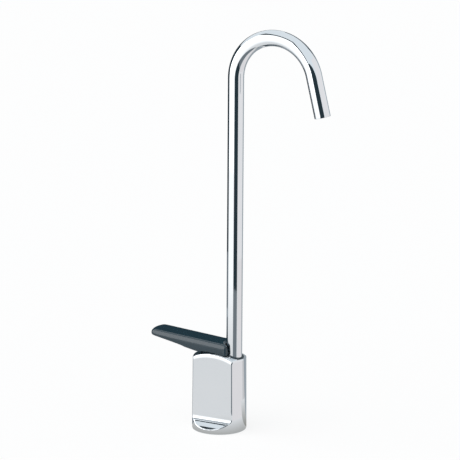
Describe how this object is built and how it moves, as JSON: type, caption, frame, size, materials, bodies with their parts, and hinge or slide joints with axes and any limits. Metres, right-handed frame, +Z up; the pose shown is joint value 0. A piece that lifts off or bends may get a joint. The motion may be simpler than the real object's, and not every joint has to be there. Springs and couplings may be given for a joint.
{
  "type": "glass filler faucet",
  "caption": "Deck-mounted glass filler: push-down black lever on a chrome body with flats, self-closing valve inside, and a swivelling chrome gooseneck spout turned over at the top.",
  "frame": {"origin": "middle of the foot, on the deck", "axes": "+Z up from the deck, +X from the housing towards the spout's outlet, lever towards -X, the flats of the housing face -Y and +Y"},
  "size_m": [0.1359, 0.038, 0.286],
  "materials": {
    "chrome": "polished plate",
    "black_plastic": "glossy moulding",
    "brass": "machined",
    "steel": "satin",
    "rubber": "matte",
    "acetal": "satin moulding"
  },
  "bodies": {
    "base": {"housing": "chrome", "valve_body": "brass", "base_gasket": "rubber", "housing_screws": "steel", "flow_washer": "rubber", "inlet_strainer": "steel", "valve_seat": "brass", "seat_seal": "rubber", "bonnet": "brass", "bonnet_seal": "rubber", "stem_o_ring": "rubber", "return_spring": "steel", "pivot_yoke": "steel", "lever_pin": "steel", "tube_collar": "black_plastic", "thrust_washer": "acetal", "spout_set_screw": "steel"},
    "stem": {"valve_stem": "brass", "seat_washer": "rubber", "stem_cap": "acetal"},
    "lever": {"lever": "black_plastic", "lever_bush": "acetal"},
    "spout": {"spout_tube": "chrome", "spout_adapter": "brass", "spout_o_rings": "rubber"}
  },
  "joints": [
    {"name": "lever_pivot", "type": "hinge", "parent": "base", "child": "lever", "pos_m": [0.0015, 0, 0.04645], "axis": [0, -1, 0], "range_deg": [0, 8], "stiffness_Nm_per_rad": 0.18, "springref_deg": -6.88},
    {"name": "stem_slide", "type": "slide", "parent": "base", "child": "stem", "axis": [0, 0, -1], "range_m": [0, 0.00119], "deforming": ["return_spring"]},
    {"name": "spout_swivel", "type": "hinge", "parent": "base", "child": "spout", "pos_m": [0.01155, 0, 0.04485], "axis": [0, 0, 1], "continuous": true}
  ],
  "couplings": [
    {"joint": "lever_pivot", "follows": "stem_slide", "rad_per_m": 117.65}
  ]
}
